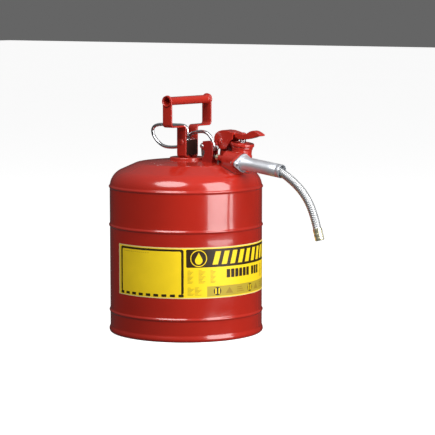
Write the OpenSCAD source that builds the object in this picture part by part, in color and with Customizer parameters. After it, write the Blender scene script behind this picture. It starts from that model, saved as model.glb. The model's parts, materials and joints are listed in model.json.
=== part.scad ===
// Five gallon safety can for flammable liquids: a sheet steel drum with a domed top, a fixed
// D handle, a wire trigger that works a pour valve, a hinged fill lid and a flexible spout hose.
// The origin is the middle of the base, +Z is up and +X is the way the spout points.

/* [Body] */
// Outer radius of the can wall
body_r = 147; // [144:0.5:150]
// Thickness of the sheet steel
sheet_t = 0.7; // [0.5:0.1:0.9]
// How far the rolled beads stand out of the wall
bead_h = 1.9; // [1.2:0.1:2.4]
// Half the height of a rolled bead
bead_half = 4.2; // [3:0.1:4.2]
// Height of the lower bead
lower_bead_z = 42; // [35:1:50]
// Height of the upper bead
upper_bead_z = 207; // [200:1:215]
// Height of the bead where the wall meets the domed top
shoulder_z = 281; // [281:0.5:284]

/* [Dome] */
// Radius of the rounded shoulder
knuckle_r = 36; // [34:1:38]
// Slope of the cone between shoulder and crease, in degrees
cone_slope = 24; // [22:1:26]
// Radius of the crease where the cone meets the flatter crown
crease_r = 95; // [92:1:98]
// Slope of the crown at the crease, in degrees
crown_slope = 8; // [7:0.5:9]

/* [Handle] */
// Distance from the can axis to the middle of each upright of the D
upright_y = 60; // [56:1:64]
// Distance from the can axis to the middle of each neck leg
neck_y = 17.5; // [17:0.5:18]
// Height of the grip tube's axis
grip_z = 446; // [440:1:452]
// Width of the handle straps
strap_w = 22; // [20:1:24]
// Thickness of the handle straps
strap_t = 3; // [2.5:0.1:3.2]
// Outer radius of the grip tube
grip_r = 8; // [7.5:0.5:8.5]

/* [Trigger] */
// Radius of the trigger wire
wire_r = 3.2; // [3:0.1:3.3]
// Radius of the trigger's pivot pin
pivot_r = 3; // [2.5:0.1:3.2]

/* [Head] */
// Tilt of the cast head, and of the spout, below horizontal
head_tilt = 7; // [7:1:7]
// Distance from the spout's plane to the fill port's axis
port_y = 28; // [28:0.5:29]
// Outer radius of the fill port
port_r = 19.3; // [19:0.1:20]
// Height of the fill port's rim above the head's base
port_top = 41; // [40:0.5:41]
// Radius of the fill cap
cap_r = 22.5; // [21:0.5:24]

/* [Spout] */
// Outer radius of the rigid spout tube
spout_r = 12.7; // [12.2:0.1:13]
// Length of the rigid spout tube beyond its flange
spout_len = 89.5; // [80:0.5:100]
// Outer radius of the flexible metal hose
hose_r = 8; // [7.5:0.1:8]
// Length of the brass nozzle at the end of the hose
nozzle_len = 22; // [18:1:26]

/* [Label] */
// Height of the label's lower edge
label_z = 83; // [70:1:90]
// Height of the label
label_h = 96; // [80:1:100]
// Angle that the label covers on each side of the spout
label_half = 111; // [90:1:120]

/* [Hidden] */
$fn = 64;

// Domed top: a bead, a rounded shoulder, a cone and a shallow crown, as one line of [r, z]
knuckle_z = shoulder_z - 1;
wall_top = shoulder_z - bead_half;
knuckle_cr = body_r - knuckle_r;
cone_start = [
    knuckle_cr + knuckle_r * sin(cone_slope),
    knuckle_z + knuckle_r * cos(cone_slope)
];
crease_z = cone_start[1] + (cone_start[0] - crease_r) * tan(cone_slope);
crown_r = crease_r / sin(crown_slope);
crown_cz = crease_z - crown_r * cos(crown_slope);
bisector = (cone_slope + crown_slope) / 2;

function skirt_r(z) = z <= knuckle_z
    ? body_r
    : knuckle_cr + sqrt(pow(knuckle_r, 2) - pow(z - knuckle_z, 2));
function bead_line(z, inset) = [
    for (t = [-1:0.25:1])
        let (h = z + bead_half * t)
            [skirt_r(h) + bead_h * (1 + cos(180 * t)) / 2 - inset, h]
];
function dome_line(inset) = concat(
    bead_line(shoulder_z, inset),
    [for (a = [12:6:90 - cone_slope])
        [knuckle_cr + (knuckle_r - inset) * cos(a), knuckle_z + (knuckle_r - inset) * sin(a)]],
    [[crease_r - inset * sin(bisector), crease_z - inset * cos(bisector)]],
    [for (a = [crown_slope - 2:-2:0])
        [(crown_r - inset) * sin(a), crown_cz + (crown_r - inset) * cos(a)]]
);
function reversed(list) = [for (i = [len(list) - 1:-1:0]) list[i]];

// Rolled lower rim, from the wall down to the floor
chime_top = 13;
chime_inner_r = 144;
chime_line = [
    [body_r, chime_top], [body_r + 0.8, 10], [body_r + 1.9, 7], [body_r + 2.2, 4.2],
    [body_r + 1.7, 2], [body_r + 0.2, 0.5], [body_r - 1.5, 0]
];
pan_rise = 4;

// Wall line with its two beads
wall_line = concat(
    [[body_r, chime_top]], bead_line(lower_bead_z, 0), bead_line(upper_bead_z, 0),
    [[body_r, wall_top]]
);

// Handle
handle_x = 4;
base_r = 34.5;
base_top = 337;
foot_z = base_top + strap_t / 2;
jog_z = 397;
foot_inner_y = 5.5;
bend_r = 6;
foot_bend_r = 4.5;
web_t = 2;
web_top = 370;
web_corner = 1.2;
rivet_head = 1.6;
tube_wall = 1;
grip_half = 63.8;
rivet_y = 9.5;
rivet_dx = 6;

// Trigger wire, as [x, z] points in the plane of the spout
pivot_z = 366;
hub_r = 6.5;
hub_half = 14.5;
pin_clearance = 0.06;
rear_route = [
    [4, 370], [4, 380], [3.5, 388.5], [-1, 395], [-9, 397], [-26, 397], [-45, 397], [-62, 396.5],
    [-72, 395], [-79.5, 391.5], [-83, 385.5], [-82, 378], [-78, 371], [-71, 364], [-62, 358],
    [-52, 354.5], [-42, 353.5], [-28, 354], [-16, 356], [-7, 359.5], [0, 364]
];
front_route = [
    [6, 369], [8, 376], [15, 382], [26, 385.5], [38, 387], [48, 386], [56, 382], [62, 375.5],
    [66, 367.5], [69, 360], [70, 354.5]
];
link_pin = [70, 357];
link_pin_r = 2;

// Bell crank that turns the trigger's swing into the valve stem's pull
crank_pivot = [46, 360];
crank_pin_r = 2.5;
fork_in = 3.6;
fork_out = 5.6;
bracket_in = 6.1;
bracket_out = 9.1;
crank_swing = 21.6;

// Cast head: its own frame stands on the dome's cone, x along the spout, z along the port
head_at = [110, 0, crease_z - (110 - crease_r) * tan(cone_slope)];
spout_z = 15.5;
chamber_r = 12;
chamber_wall = 4.5;
chamber_back = -13;
chamber_bore_back = -9;
seat_x = 12;
seat_r = 9;
boss_x = 25.3;
flange_x = 28.8;
flange_t = 2.5;
flange_screw_y = 22;
fill_bore_r = 15;
pour_bore_r = 9;
gasket_t = 1.2;
stem_r = 2.9;
stem_back = -31;
hinge = [-43, 44];
hinge_pin_r = 2.5;
cheek_y = [13.5, 16.5];
lug_half = 8;
arm_half = 7.5;
cap_z = 41.6;
cap_t = 6.4;
arm_under = 54.5;

// Crank pivot and link pin seen in the head's frame
function to_head(p) = let (d = [p[0] - head_at[0], p[1] - head_at[2]])
    [d[0] * cos(head_tilt) - d[1] * sin(head_tilt), d[0] * sin(head_tilt) + d[1] * cos(head_tilt)];
crank_at = to_head(crank_pivot);
link_at = to_head(link_pin);
stem_drop = crank_at[1] - spout_z;
stem_eye_x = crank_at[0] + stem_drop * tan(crank_swing / 2);
stem_arm = stem_drop / cos(crank_swing / 2);

// Lid lever seen from the side, in the head's frame
lever_top = [
    [-56, 57], [-50, 62.5], [-42, 66], [-30, 67], [-20, 66], [-10, 65], [6, 65], [12, 67.8],
    [19, 73], [25, 75.5], [31, 75.5], [38, 73.5], [44.5, 70.8]
];
tab_under = [
    [45.5, 69], [43, 67.5], [35, 65.8], [27, 62], [18, 58.5], [8, 55.5], [-6, arm_under]
];
cheek_line = [
    [-52, 34], [-57, 40], [-58.5, 50], [-56, 57], [-50, 62.5], [-42, 66], [-30, 67], [-20, 66],
    [-15, 65.5], [-15, 53], [-20, 48], [-27, 33], [-34, 30], [-46, 30]
];
web_line = [
    [-50, 62.5], [-42, 66], [-30, 67], [-20, 66], [-15, 65.5], [-15, 61.5], [-29, 63], [-41, 62.2],
    [-48, 59.4]
];

// Spout tube and hose
ferrule_x = 16;
ferrule_len = 14;
groove_back = 9;
nozzle_r = 8.6;
nozzle_bore_r = 5.5;
// Middle of the hose from its ferrule inside the spout tube to its nozzle, as [x, z]
hose_route = [
    [170.2, 328], [177, 327.3], [184, 327.1], [191, 326.9], [198, 326.5], [204, 325.8],
    [209.5, 324.8], [214.5, 323.6], [219.5, 322.1], [224.5, 320.2], [229.5, 317.9], [235, 315.1],
    [240, 312.3], [250, 306.1], [260, 299], [270, 290.8], [279, 281.5], [287, 271.3], [294, 259.8],
    [300, 246.7], [305.2, 232.6], [309.2, 220]
];
nozzle_angle = 163.5;

// ---- helpers ----

// A thin skin from a line of [r, z] points and the same line moved inwards
module skin_of_revolution(outer, inner) {
    rotate_extrude($fn = 128) polygon(concat(outer, reversed(inner)));
}

// Everything under the dome's outer face, raised by up
module below_dome(up = 0) {
    line = dome_line(-up);
    rotate_extrude($fn = 128) polygon(concat([[0, 240], [line[0][0], 240]], line));
}

module head() translate(head_at) rotate([0, head_tilt, 0]) children();

// A flat outline in x and z, drawn out from y0 to y1
module side_on(y0, y1) translate([0, y1, 0]) rotate([90, 0, 0]) linear_extrude(y1 - y0) children();

module along_x(x, h, r) translate([x, 0, spout_z]) rotate([0, 90, 0]) cylinder(h = h, r = r);

module across_y(at, half, r) translate([at[0], -half, at[1]]) rotate([-90, 0, 0])
    cylinder(h = 2 * half, r = r);

module ring_of_rod(r_in, r_out, h) difference() {
    cylinder(h = h, r = r_out);
    translate([0, 0, -1]) cylinder(h = h + 2, r = r_in);
}

function arc(at, r, from, to, n) = [
    for (i = [0:n]) let (a = from + (to - from) * i / n) [at[0] + r * cos(a), at[1] + r * sin(a)]
];

// An oval with two small ends, the shape of a two-bolt flange
module lozenge(r, end_r, reach) {
    a = acos((r - end_r) / reach);
    polygon(concat(
        arc([reach, 0], end_r, -a, a, 10), arc([0, 0], r, a, 180 - a, 16),
        arc([-reach, 0], end_r, 180 - a, 180 + a, 10), arc([0, 0], r, 180 + a, 360 - a, 16)
    ));
}

// A slice of the flange's outline, from x0 to x1 in the head's frame
module flange_slice(x0, x1, r, end_r) translate([x0, 0, spout_z]) rotate([90, 0, 90])
    linear_extrude(x1 - x0) lozenge(r, end_r, flange_screw_y);

// A round rod along a route of [x, z] points: n points to a ring, one ring to a point
function heading(route, i) = let (
    step = route[min(i + 1, len(route) - 1)] - route[max(i - 1, 0)]
) step / norm(step);
function ring_at(route, i, r, n) = let (d = heading(route, i)) [
    for (k = [0:n - 1]) let (a = 360 * k / n)
        [route[i][0] - d[1] * r * cos(a), r * sin(a), route[i][1] + d[0] * r * cos(a)]
];
module rod(route, r, n) {
    last = len(route) - 1;
    polyhedron(
        [for (i = [0:last]) each ring_at(route, i, r, n)],
        concat(
            [[for (k = [n - 1:-1:0]) k]],
            [for (i = [0:last - 1]) for (k = [0:n - 1])
                [i * n + (k + 1) % n, (i + 1) * n + (k + 1) % n, (i + 1) * n + k, i * n + k]],
            [[for (k = [0:n - 1]) last * n + k]]
        )
    );
}

// The same route with steps points to each stretch, on a smooth curve
function blend(a, b, c, d, t) = 0.5 * (
    2 * b + (c - a) * t + (2 * a - 5 * b + 4 * c - d) * t * t + (3 * b - a - 3 * c + d) * t * t * t
);
function smooth(route, steps) = let (last = len(route) - 1) concat(
    [for (i = [0:last - 1]) for (k = [0:steps - 1])
        blend(route[max(i - 1, 0)], route[i], route[i + 1], route[min(i + 2, last)], k / steps)],
    [route[last]]
);

// ---- drum ----

module body_shell() color([0.72, 0.13, 0.1])
    skin_of_revolution(wall_line, [for (p = wall_line) [p[0] - sheet_t, p[1]]]);

module bottom_pan() color([0.66, 0.12, 0.1]) rotate_extrude($fn = 128) polygon(concat(
    chime_line,
    [
        [chime_inner_r, 0], [chime_inner_r, 8], [0, 8 + pan_rise],
        [0, 8 + pan_rise + sheet_t], [chime_inner_r, 8 + sheet_t], [chime_inner_r, chime_top]
    ]
));

module top_dome() color([0.85, 0.16, 0.11]) difference() {
    skin_of_revolution(dome_line(0), dome_line(sheet_t));
    head() translate([0, port_y, -40]) cylinder(h = 60, r = fill_bore_r);
    head() translate([0, 0, -40]) cylinder(h = 60, r = pour_bore_r);
}

module label() color([0.9, 0.75, 0.12]) rotate([0, 0, -label_half])
    rotate_extrude(angle = 2 * label_half, $fn = 128)
        translate([body_r + 0.03, label_z]) square([0.25, label_h]);

// ---- handle ----

module handle_base() color([0.72, 0.13, 0.1]) difference() {
    translate([handle_x, 0, 326]) cylinder(h = base_top - 326, r = base_r);
    below_dome();
}

// One quarter of a bent strip, around [y, z], from angle a to a + 90
module strip_bend(y, z, r, a) translate([y, z]) intersection() {
    difference() {
        circle(r + strap_t / 2);
        circle(r - strap_t / 2);
    }
    rotate(a) square(r + strap_t);
}

// The strap's edge line in y and z: foot, neck leg, outward jog and upright
module strap_line() {
    half = strap_t / 2;
    translate([foot_inner_y, foot_z - half]) square([neck_y - foot_bend_r - foot_inner_y, strap_t]);
    strip_bend(neck_y - foot_bend_r, foot_z + foot_bend_r, foot_bend_r, -90);
    translate([neck_y - half, foot_z + foot_bend_r])
        square([strap_t, jog_z - bend_r - foot_z - foot_bend_r]);
    strip_bend(neck_y + bend_r, jog_z - bend_r, bend_r, 90);
    translate([neck_y + bend_r, jog_z - half]) square([upright_y - neck_y - 2 * bend_r, strap_t]);
    strip_bend(upright_y - bend_r, jog_z + bend_r, bend_r, -90);
    translate([upright_y - half, jog_z + bend_r])
        square([strap_t, grip_z + strap_w - jog_z - bend_r]);
}

module handle_strap(side) color([0.75, 0.14, 0.11]) scale([1, side, 1]) difference() {
    intersection() {
        translate([handle_x - strap_w / 2, 0, 0]) rotate([90, 0, 90])
            linear_extrude(strap_w) strap_line();
        side_on(0, upright_y + 10) translate([handle_x, 0]) {
            translate([0, grip_z]) circle(strap_w / 2);
            translate([-strap_w / 2 - 1, base_top - 1]) square([strap_w + 2, grip_z - base_top + 1]);
        }
    }
    translate([handle_x, upright_y - 5, grip_z]) rotate([-90, 0, 0])
        cylinder(h = 10, r = grip_r + 0.02);
    translate([handle_x, neck_y - 5, pivot_z]) rotate([-90, 0, 0])
        cylinder(h = 10, r = pivot_r + 0.02);
    for (s = [-1, 1]) translate([handle_x + s * rivet_dx, rivet_y, base_top - 1])
        cylinder(h = 6, r = 2.02, $fn = 24);
}

module handle_strap_left() handle_strap(-1);

module handle_strap_right() handle_strap(1);

// Plate across the front of the neck, welded between the two straps
module neck_web() color([0.2, 0.08, 0.06]) {
    half = neck_y - strap_t / 2;
    bottom = base_top + strap_t + rivet_head + 0.6;
    front = handle_x + strap_w / 2;
    translate([front - web_t, 0, 0]) rotate([90, 0, 90]) linear_extrude(web_t) polygon([
        [-half + web_corner, bottom], [half - web_corner, bottom], [half, bottom + web_corner],
        [half, web_top], [-half, web_top], [-half, bottom + web_corner]
    ]);
}

module strap_rivets() color([0.7, 0.13, 0.1])
    for (sx = [-1, 1]) for (sy = [-1, 1])
        translate([handle_x + sx * rivet_dx, sy * rivet_y, base_top]) {
            cylinder(h = strap_t + 0.5, r = 2, $fn = 24);
            translate([0, 0, strap_t]) cylinder(h = rivet_head, r1 = 4, r2 = 2.6, $fn = 24);
        }

// Steel tube, swaged against the inside of each strap and flared over the outside
module grip_tube() color([0.86, 0.18, 0.13])
    translate([handle_x, 0, grip_z]) rotate([90, 0, 0]) rotate_extrude($fn = 48) {
        inner = upright_y - strap_t / 2;
        outer = upright_y + strap_t / 2;
        half = [
            [grip_r, inner - 3], [grip_r + 1.3, inner - 1.6], [grip_r + 1.3, inner],
            [grip_r, inner], [grip_r, outer], [grip_r + 2.2, grip_half],
            [grip_r + 1, grip_half + 0.6], [grip_r - tube_wall, outer - 1]
        ];
        polygon(concat(half, reversed([for (p = half) [p[0], -p[1]]])));
    }

// ---- trigger ----

module trigger_pivot_pin() color("silver") {
    across_y([handle_x, pivot_z], neck_y + strap_t / 2 + 1, pivot_r);
    for (s = [-1, 1]) scale([1, s, 1])
        translate([handle_x, neck_y + strap_t / 2, pivot_z]) rotate([-90, 0, 0])
            cylinder(h = 2.2, r1 = 5.4, r2 = 3.8, $fn = 32);
}

module pivot_washers() color("silver")
    for (s = [-1, 1]) scale([1, s, 1])
        translate([handle_x, hub_half + 0.1, pivot_z]) rotate([-90, 0, 0])
            ring_of_rod(pivot_r + pin_clearance, 6.8, 1.2);

module trigger_lever() color("gainsboro") difference() {
    union() {
        across_y([handle_x, pivot_z], hub_half, hub_r);
        rod(smooth(rear_route, 3), wire_r, 12);
        rod(smooth(front_route, 3), wire_r - 0.1, 12);
    }
    across_y([handle_x, pivot_z], hub_half + 5, pivot_r + pin_clearance);
    across_y(link_pin, 10, link_pin_r);
}

module trigger_link_pin() color("silver") across_y(link_pin, fork_out, link_pin_r);

// ---- valve linkage ----

// One arm of the crank: a bar from the pivot with a slot between two distances
module crank_arm(reach, slot_from, slot_to, slot_r, half_w) difference() {
    union() {
        translate([0, -half_w]) square([reach, 2 * half_w]);
        translate([reach, 0]) circle(half_w, $fn = 32);
    }
    for (x = [slot_from, slot_to]) translate([x, 0]) circle(slot_r, $fn = 32);
    translate([slot_from, -slot_r]) square([slot_to - slot_from, 2 * slot_r]);
}

module crank_plate() {
    lift = link_at - crank_at;
    circle(6.2);
    rotate(atan2(lift[1], lift[0])) crank_arm(norm(lift) + 1.2, norm(lift) - 0.7, norm(lift) + 1.6,
        link_pin_r + 0.45, 5);
    rotate(crank_swing / 2 - 90) crank_arm(stem_arm, stem_arm - 0.8, stem_arm + 0.4, 2.15, 4.6);
}

module valve_crank() color("silver") head() translate([crank_at[0], 0, crank_at[1]]) difference() {
    union() {
        for (s = [-1, 1]) scale([1, s, 1]) side_on(fork_in, fork_out) crank_plate();
        across_y([0, 0], fork_out, 5);
    }
    across_y([0, 0], 10, crank_pin_r + pin_clearance);
}

module crank_pin() color("gainsboro") {
    across_y(crank_pivot, bracket_out + 0.6, crank_pin_r);
    for (s = [-1, 1]) scale([1, s, 1]) translate([crank_pivot[0], bracket_out, crank_pivot[1]])
        rotate([-90, 0, 0]) cylinder(h = 1.8, r1 = 4.2, r2 = 3, $fn = 32);
}

// Two side plates on a foot, joined by a bridge at the top
module crank_bracket() color([0.78, 0.15, 0.12]) difference() {
    union() {
        for (s = [-1, 1]) scale([1, s, 1]) side_on(bracket_in, bracket_out) {
            polygon([
                [46, 325], [69, 325], [71.5, 342], [72, 352], [71, 365], [67.5, 369.5],
                [51, 369.5], [50, 366.5], [46, 364.5], [46, 355.5], [53, 351.5], [53, 346],
                [46, 335]
            ]);
            translate(crank_pivot) circle(4.6);
        }
        translate([54, -bracket_out, 325]) cube([15, 2 * bracket_out, 10]);
        translate([48.5, -bracket_out, 366.7]) cube([6.5, 2 * bracket_out, 2.8]);
    }
    below_dome();
    across_y(crank_pivot, 12, crank_pin_r + 0.02);
}

module valve_stem() color("silver") head() difference() {
    union() {
        along_x(stem_eye_x, 8.2 - stem_eye_x, stem_r);
        across_y([stem_eye_x, spout_z], fork_in - 0.4, 3.6);
    }
    across_y([stem_eye_x, spout_z], 8, 1.8);
}

module stem_cross_pin() color("gainsboro") head() across_y([stem_eye_x, spout_z], fork_out, 1.8);

module stem_gland_nut() color([0.8, 0.65, 0.3]) head() difference() {
    along_x(stem_back - 5, 5, 5.9);
    along_x(stem_back - 6, 7, stem_r + 0.08);
}

module valve_disc() color("silver") head() along_x(8.2, 2, 10.5);

module valve_seal() color([0.15, 0.15, 0.15]) head() along_x(10.2, seat_x - 10.25, 10.5);

// Coils of the closing spring, as a sleeve around the stem
module valve_spring() color("silver") head() difference() {
    along_x(chamber_bore_back + 0.1, 17, 8);
    along_x(chamber_bore_back - 1, 19, 6.8);
}

// ---- cast head ----

// Where the head stands, looking down its own z
module head_footprint() {
    translate([0, port_y]) circle(port_r);
    translate([chamber_back, -14]) square([33, 28]);
    translate([-14, 0]) square([28, port_y]);
    translate([-44, 17]) square([34, 22]);
}

module head_bores(z0, h) {
    translate([0, port_y, z0]) cylinder(h = h, r = fill_bore_r);
    translate([0, 0, z0]) cylinder(h = h, r = pour_bore_r);
}

module manifold_gasket() color([0.12, 0.1, 0.1]) difference() {
    intersection() {
        below_dome(gasket_t);
        head() translate([0, 0, -20]) linear_extrude(50) head_footprint();
    }
    below_dome();
    head() head_bores(-30, 60);
}

module manifold() color([0.86, 0.17, 0.12]) difference() {
    head() union() {
        // fill port with its rim and a shoulder
        translate([0, port_y, -22]) cylinder(h = port_top + 22, r = port_r);
        translate([0, port_y, port_top - 3.5]) cylinder(h = 3.5, r = port_r + 1);
        translate([0, port_y, 20]) cylinder(h = 5, r = port_r + 1.2);
        // valve chamber and the block under it
        along_x(chamber_back, boss_x - chamber_back, chamber_r + chamber_wall);
        translate([chamber_back, -14, -22]) cube([33, 28, 22 + spout_z]);
        // mating face for the spout flange
        flange_slice(20, boss_x, 18.5, 7);
        // web between chamber and port
        translate([-14, 0, -22]) cube([28, port_y, 46]);
        // tail with the hinge lug
        translate([-44, 17, -5]) cube([34, 22, 32]);
        translate([-14, 17, 20]) cube([10, 22, 7]);
        side_on(port_y - lug_half, port_y + lug_half) {
            polygon([[-44, 20], [hinge[0] - 7, hinge[1]], [hinge[0] + 7, hinge[1]], [-26, 26], [-26, 20]]);
            translate(hinge) circle(7);
        }
        // guide for the valve stem
        along_x(stem_back, chamber_back - stem_back + 1, 5.2);
    }
    below_dome(gasket_t);
    head() {
        translate([0, port_y, -40]) cylinder(h = 100, r = fill_bore_r);
        translate([0, 0, -40]) cylinder(h = 40 + spout_z, r = pour_bore_r);
        along_x(chamber_bore_back, seat_x - chamber_bore_back, chamber_r);
        along_x(seat_x - 1, 30, seat_r);
        along_x(stem_back - 5, 40, stem_r + 0.08);
        translate([0, port_y, 0]) across_y(hinge, 20, hinge_pin_r + 0.02);
        for (s = [-1, 1]) translate([0, s * flange_screw_y, 0]) along_x(14, 20, 2.4);
    }
}

// ---- fill lid ----

module lid_lever() color([0.88, 0.18, 0.12]) head() difference() {
    union() {
        for (s = [-1, 1]) translate([0, port_y, 0]) scale([1, s, 1])
            side_on(port_y - cheek_y[1], port_y - cheek_y[0]) polygon(cheek_line);
        side_on(cheek_y[0], 2 * port_y - cheek_y[0]) polygon(web_line);
        side_on(port_y - arm_half, port_y + arm_half) polygon(concat(
            [for (p = lever_top) if (p[0] > -25) p], tab_under, [[-15, 57], [-20, 61]]
        ));
    }
    translate([0, port_y, 0]) across_y(hinge, 20, hinge_pin_r + pin_clearance);
    translate([0, port_y, 40]) cylinder(h = 40, r = 3.6);
}

module lid_hinge_pin() color("silver") head() translate([0, port_y, 0]) {
    across_y(hinge, port_y - cheek_y[0] + 1.2, hinge_pin_r);
    for (s = [-1, 1]) scale([1, s, 1])
        translate([hinge[0], port_y - cheek_y[0] + 0.3, hinge[1]]) rotate([-90, 0, 0])
            cylinder(h = 1.6, r1 = 4, r2 = 3, $fn = 32);
}

// A torsion spring's coils on each side of the hinge lug
module lid_springs() color("silver") head() translate([hinge[0], port_y, hinge[1]])
    for (s = [-1, 1]) scale([1, s, 1]) translate([0, lug_half + 0.3, 0]) rotate([-90, 0, 0])
        ring_of_rod(hinge_pin_r + 0.4, 4.6, 2.8);

// Shoulder rivet that hangs the cap from the lever
module cap_stud() color("silver") head() translate([0, port_y, 0]) {
    translate([0, 0, cap_z + cap_t - 3]) cylinder(h = 65.2 - cap_z - cap_t + 3, r = 3.5);
    translate([0, 0, 65.1]) cylinder(h = 2.2, r1 = 5.5, r2 = 3.8, $fn = 32);
}

module cap_spring() color("silver") head() translate([0, port_y, cap_z + cap_t + 0.05])
    ring_of_rod(4.2, 6.4, arm_under - cap_z - cap_t - 0.1);

module fill_cap() color([0.84, 0.15, 0.11]) head() translate([0, port_y, cap_z])
    difference() {
        rotate_extrude() polygon([
            [0, 0], [cap_r - 0.8, 0], [cap_r, 0.8], [cap_r, 5.2], [cap_r - 0.9, 6.2],
            [cap_r - 2.1, 6.2], [cap_r - 3.5, 4.4], [cap_r - 6, 3.4], [9.5, 3.4], [7, cap_t],
            [0, cap_t]
        ]);
        translate([0, 0, -1]) cylinder(h = 2.6, r = 20.2);
        translate([0, 0, cap_t - 3]) cylinder(h = 4, r = 3.52);
    }

module cap_gasket() color([0.12, 0.12, 0.12]) head()
    translate([0, port_y, port_top + 0.2]) cylinder(h = 2, r = 20);

// ---- flame screens ----

module screen(y, r, z0, z1, wall) color([0.75, 0.75, 0.72]) head() translate([0, y, z0])
    difference() {
        cylinder(h = z1 - z0, r = r);
        translate([0, 0, wall]) cylinder(h = z1 - z0, r = r - wall);
    }

module fill_flame_screen() screen(port_y, fill_bore_r - 0.3, -95, 36, 0.6);

module pour_flame_screen() screen(0, pour_bore_r - 0.3, -70, 2, 0.6);

// ---- spout ----

module flange_gasket() color([0.12, 0.12, 0.12]) head() difference() {
    flange_slice(boss_x, boss_x + 1, 17.5, 6.5);
    along_x(boss_x - 1, 3, 12);
    for (s = [-1, 1]) translate([0, s * flange_screw_y, 0]) along_x(boss_x - 1, 3, 2.6);
}

module spout_flange() color([0.82, 0.83, 0.84]) head() difference() {
    flange_slice(flange_x - flange_t, flange_x, 17.5, 6.5);
    along_x(boss_x - 1, 10, spout_r + 0.1);
    along_x(flange_x - flange_t - 1, 2.1, 15.5);
    for (s = [-1, 1]) translate([0, s * flange_screw_y, 0]) along_x(boss_x, 8, 2.6);
}

module flange_screws() color("silver") head() for (s = [-1, 1])
    translate([0, s * flange_screw_y, 0]) difference() {
        union() {
            along_x(15, flange_x - 15, 2.4);
            translate([flange_x, 0, spout_z]) rotate([0, 90, 0])
                cylinder(h = 2.6, r1 = 4.4, r2 = 3.2, $fn = 32);
        }
        translate([flange_x + 1.6, -0.6, spout_z - 5]) cube([3, 1.2, 10]);
    }

// Rigid tube: a lip under the flange, a swaged collar in front of it, a groove at the mouth
module spout_tube() color([0.8, 0.81, 0.83]) head()
    translate([0, 0, spout_z]) rotate([0, 90, 0]) rotate_extrude() {
        back = flange_x - flange_t;
        mouth = flange_x + spout_len;
        polygon([
            [spout_r - 1.1, back], [15.3, back], [15.3, back + 1], [spout_r, back + 1],
            [spout_r, flange_x + 0.1], [spout_r + 1.9, flange_x + 0.1], [spout_r + 2, flange_x + 2.5],
            [spout_r + 1.2, flange_x + 4.4], [spout_r, flange_x + 5.6],
            [spout_r, mouth - groove_back - 1.2], [spout_r - 0.5, mouth - groove_back - 0.6],
            [spout_r - 0.5, mouth - groove_back + 0.6], [spout_r, mouth - groove_back + 1.2],
            [spout_r, mouth - 0.4], [spout_r - 0.4, mouth], [spout_r - 0.8, mouth],
            [spout_r - 1.1, mouth - 0.4]
        ]);
    }

module hose_ferrule() color([0.75, 0.62, 0.32]) head() difference() {
    along_x(flange_x + ferrule_x, ferrule_len, spout_r - 1.15);
    along_x(flange_x + ferrule_x - 1, ferrule_len + 2, 6.5);
}

module hose() color([0.8, 0.81, 0.83]) rod(hose_route, hose_r, 12);

module hose_nozzle() color([0.85, 0.75, 0.35])
    translate([hose_route[len(hose_route) - 1][0], 0, hose_route[len(hose_route) - 1][1]])
        rotate([0, nozzle_angle, 0]) rotate_extrude($fn = 48) polygon([
            [nozzle_bore_r, 0], [nozzle_r, 0], [nozzle_r, 7], [nozzle_r - 0.5, 7.6],
            [nozzle_r - 0.5, 9], [nozzle_r, 9.6], [nozzle_r, nozzle_len - 1.2],
            [nozzle_r - 1.2, nozzle_len], [nozzle_bore_r, nozzle_len]
        ]);

body_shell();
bottom_pan();
top_dome();
label();
handle_base();
handle_strap_left();
handle_strap_right();
neck_web();
strap_rivets();
grip_tube();
trigger_pivot_pin();
pivot_washers();
trigger_lever();
trigger_link_pin();
crank_bracket();
crank_pin();
valve_crank();
manifold_gasket();
manifold();
stem_gland_nut();
valve_stem();
stem_cross_pin();
valve_disc();
valve_seal();
valve_spring();
lid_lever();
lid_hinge_pin();
lid_springs();
cap_stud();
cap_spring();
fill_cap();
cap_gasket();
fill_flame_screen();
pour_flame_screen();
flange_gasket();
spout_flange();
flange_screws();
spout_tube();
hose_ferrule();
hose();
hose_nozzle();
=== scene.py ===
import bpy
import bmesh
import json
import math
from mathutils import Matrix, Vector
from mathutils.geometry import tessellate_polygon


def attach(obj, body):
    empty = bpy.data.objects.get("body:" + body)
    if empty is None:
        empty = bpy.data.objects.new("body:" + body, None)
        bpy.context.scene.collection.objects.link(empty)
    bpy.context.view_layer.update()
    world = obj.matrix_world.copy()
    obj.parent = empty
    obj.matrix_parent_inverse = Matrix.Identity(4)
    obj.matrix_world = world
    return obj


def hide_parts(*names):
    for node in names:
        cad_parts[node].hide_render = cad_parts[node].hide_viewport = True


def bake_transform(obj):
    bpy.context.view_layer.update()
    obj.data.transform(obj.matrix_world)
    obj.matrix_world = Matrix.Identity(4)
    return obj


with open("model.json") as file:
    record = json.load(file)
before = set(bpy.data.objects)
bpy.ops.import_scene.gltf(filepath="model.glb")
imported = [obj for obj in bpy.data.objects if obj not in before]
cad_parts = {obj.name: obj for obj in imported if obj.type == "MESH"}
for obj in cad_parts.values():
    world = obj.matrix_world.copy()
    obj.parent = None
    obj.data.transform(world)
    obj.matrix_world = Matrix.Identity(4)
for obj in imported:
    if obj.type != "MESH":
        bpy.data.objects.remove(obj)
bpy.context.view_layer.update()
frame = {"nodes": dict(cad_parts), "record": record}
nodes = frame["nodes"]
MM = 0.001
sin = math.sin
cos = math.cos
pi = math.pi
scene = bpy.context.scene

# ---------------------------------------------------------------- camera
cam_data = bpy.data.cameras.new("camera")
cam_data.lens = 155.1
cam_data.sensor_width = 36
cam_data.clip_end = 60
cam = bpy.data.objects.new("camera", cam_data)
scene.collection.objects.link(cam)
cam.location = (2.2656, -2.7977, 0.632)
aim = Vector((0.0473, 0.0383, 0.2188)) - Vector(cam.location)
cam.rotation_euler = aim.to_track_quat("-Z", "Y").to_euler()
scene.camera = cam

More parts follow.
